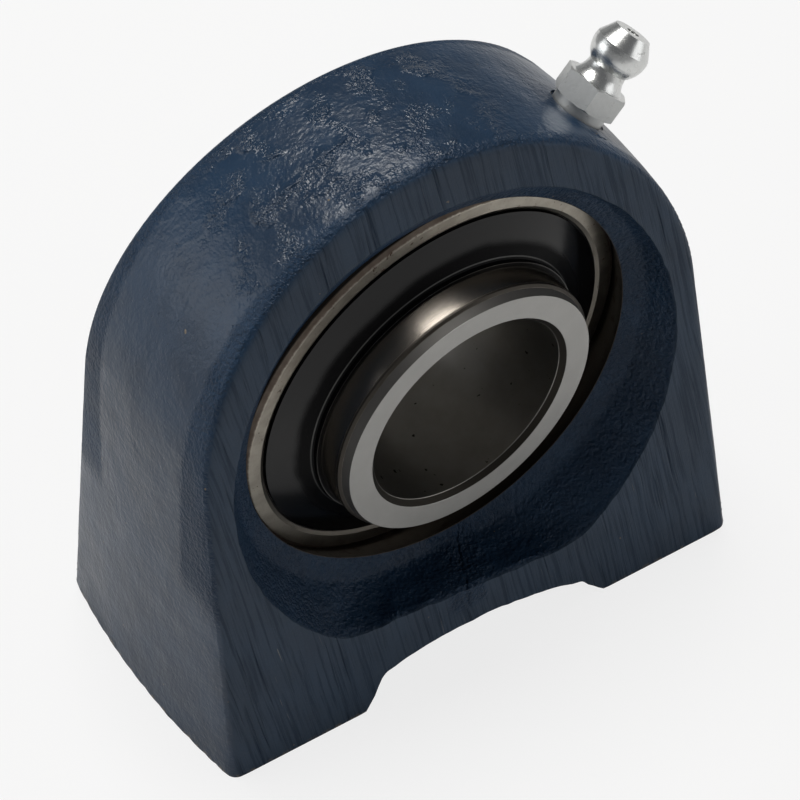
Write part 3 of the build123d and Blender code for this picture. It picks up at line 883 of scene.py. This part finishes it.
# the step behind the nose is lower and sharper than the solid's
rings = [
    ((16.15, -13.2), (nose_radius, nose_end)),
    ((16.75, -12.9), (16.80, step_end)),
    ((sleeve_radius, -12.5), (sleeve_radius, step_end + 0.25)),
]
sleeve = turned_copy("inner_ring", rings)
fit("inner_ring", sleeve, inner_ring_finish(), "shaft_sleeve")


# ---- flingers -----------------------------------------------------------------------------
# Dished discs pressed from thin sheet and blacked, gripping the inner ring by a short collar.
# They turn with it and throw dirt off the seals. The blacking is rubbed off their sharp edges,
# and the pale lines there are partly painted highlight.
bend_radius, collar_end = 17.51, 9.85
blacking, flinger_dust = (0.0035, 0.0035, 0.004, 1), (0.05, 0.045, 0.04, 1)
rubbed_steel_and_highlight = (0.3, 0.3, 0.29, 1)


def flinger_finish():
    finish = Finish("flinger_black")
    at = square_place(finish)
    x, y, z = finish.parts(at)
    out, round_at = round_shaft(finish, x, y, z)
    rings = finish.grain(round_at, 0.5, 3, 0.5)
    dust = finish.fade(finish.grain(at, 0.35, 4, 0.75), 0.6, 0.8)
    film = finish.grain(at, 3.5, 3, 0.6)
    film = 0.12 + film * 0.12 + dust * 0.2
    wander = finish.grain(at, 5.0, 1)
    # painted shade: round the collar the disc is made nearly without gloss, so it shows dark
    # there
    collar_shade = finish.fade(out + wander * 1.2, 20.3, 19.2)
    colour = finish.tint(dust * 0.5, blacking, flinger_dust)
    normal = finish.bump(rings * 0.006)
    clean = finish.gloss(
        Base_Color=colour, Roughness=film, Specular_IOR_Level=0.33, Normal=normal
    )
    shaded_near_collar = finish.gloss(
        Base_Color=colour, Roughness=film + 0.15, Specular_IOR_Level=0.05, Normal=normal
    )
    black = finish.cover(collar_shade, clean, shaded_near_collar)
    # pale lines at the bend and at the collar's end: partly real wear, partly painted highlight
    worn = finish.fade(abs(out - bend_radius), 0.09, 0.04)
    lip = finish.fade(abs(abs(y) - collar_end), 0.06, 0.02) * finish.fade(out, 17.14, 17.22)
    worn = (worn * 0.5).most(lip) * (0.2 + rings * 0.5)
    edge = finish.gloss(Base_Color=rubbed_steel_and_highlight, Metallic=1.0, Roughness=0.4)
    return finish.done(finish.cover(worn, black, edge))


flinger_black = flinger_finish()
for end, way in (("front", -1), ("back", 1)):
    # the collar ends short of the solid's
    rings = [((radius, 10.7 * way), (radius, collar_end * way)) for radius in (16.86, 17.26)]
    disc = turned_copy(f"flinger_{end}", rings)
    fit(f"flinger_{end}", disc, flinger_black, "shaft_sleeve")


# ---- set screws ---------------------------------------------------------------------------
# Two cup-point socket screws in the long side of the sleeve, hardened and blacked, which lock
# the ring to the shaft.
oxide_black, oxide_worn = (0.018, 0.018, 0.02, 1), (0.055, 0.05, 0.048, 1)


def screw_finish():
    finish = Finish("screw_black")
    at = square_place(finish)
    wear = finish.grain(at, 0.4, 4, 0.7)
    surface = finish.gloss(
        Base_Color=finish.tint(wear, oxide_black, oxide_worn),
        Metallic=0.85,
        Roughness=0.3 + wear * 0.2,
        Normal=finish.bump(wear * 0.01),
    )
    return finish.done(surface)


screw_black = screw_finish()
dress("set_screw_1", screw_black)
dress("set_screw_2", screw_black)


# ---- grease nipple ------------------------------------------------------------------------
# Turned from steel bar, hexagon milled, zinc plated; its check ball sits under the mouth on a
# small spring. It screws into the spot face on the crown, a little in front of the middle.
hexagon_top = 36.3
zinc_bright, zinc_dull = (0.86, 0.87, 0.86, 1), (0.72, 0.73, 0.72, 1)
# the hexagon's grey is painted shade
hexagon_shade_grey, zinc_stain = (0.30, 0.31, 0.31, 1), (0.20, 0.19, 0.165, 1)
wire_bright, wire_dull = (0.35, 0.34, 0.33, 1), (0.22, 0.21, 0.20, 1)


def zinc_finish():
    finish = Finish("nipple_zinc")
    at = finish.place()
    x, y, z = finish.parts(at)
    up = x * cos(nipple_angle) + z * sin(nipple_angle)
    across = x * -sin(nipple_angle) + z * cos(nipple_angle)
    out = finish.length(finish.vector(across, y + nipple_offset, 0))
    turned = finish.grain(finish.vector(out, up, 0), 0.16, 3, 0.6)
    plated = finish.grain(at, 0.5, 4, 0.65)
    stain = finish.fade(finish.grain(at, 0.9, 4, 0.7), 0.60, 0.75)
    hexagon = finish.fade(up, hexagon_top, hexagon_top - 0.1)
    colour = finish.tint(plated, zinc_bright, zinc_dull)
    # painted shade: the hexagon is coloured greyer than the plated zinc around it
    colour = finish.tint(hexagon * 0.32, colour, hexagon_shade_grey)
    surface = finish.gloss(
        Base_Color=finish.tint(stain * 0.5, colour, zinc_stain),
        Metallic=1.0,
        Roughness=0.2 + plated * 0.12 + stain * 0.2 + hexagon * 0.22,
        Normal=finish.bump(turned * 0.016 * (1 - hexagon) + plated * (0.008 + hexagon * 0.02)),
    )
    return finish.done(surface)


def spring_finish():
    finish = Finish("spring_wire")
    at = finish.place()
    drawn = finish.grain(at, 0.15, 3)
    surface = finish.gloss(
        Base_Color=finish.tint(drawn, wire_bright, wire_dull),
        Metallic=1.0,
        Roughness=0.25 + drawn * 0.15,
    )
    return finish.done(surface)


dress("grease_nipple", zinc_finish())
dress("nipple_check_ball", ball_steel)
dress("nipple_spring", spring_finish())
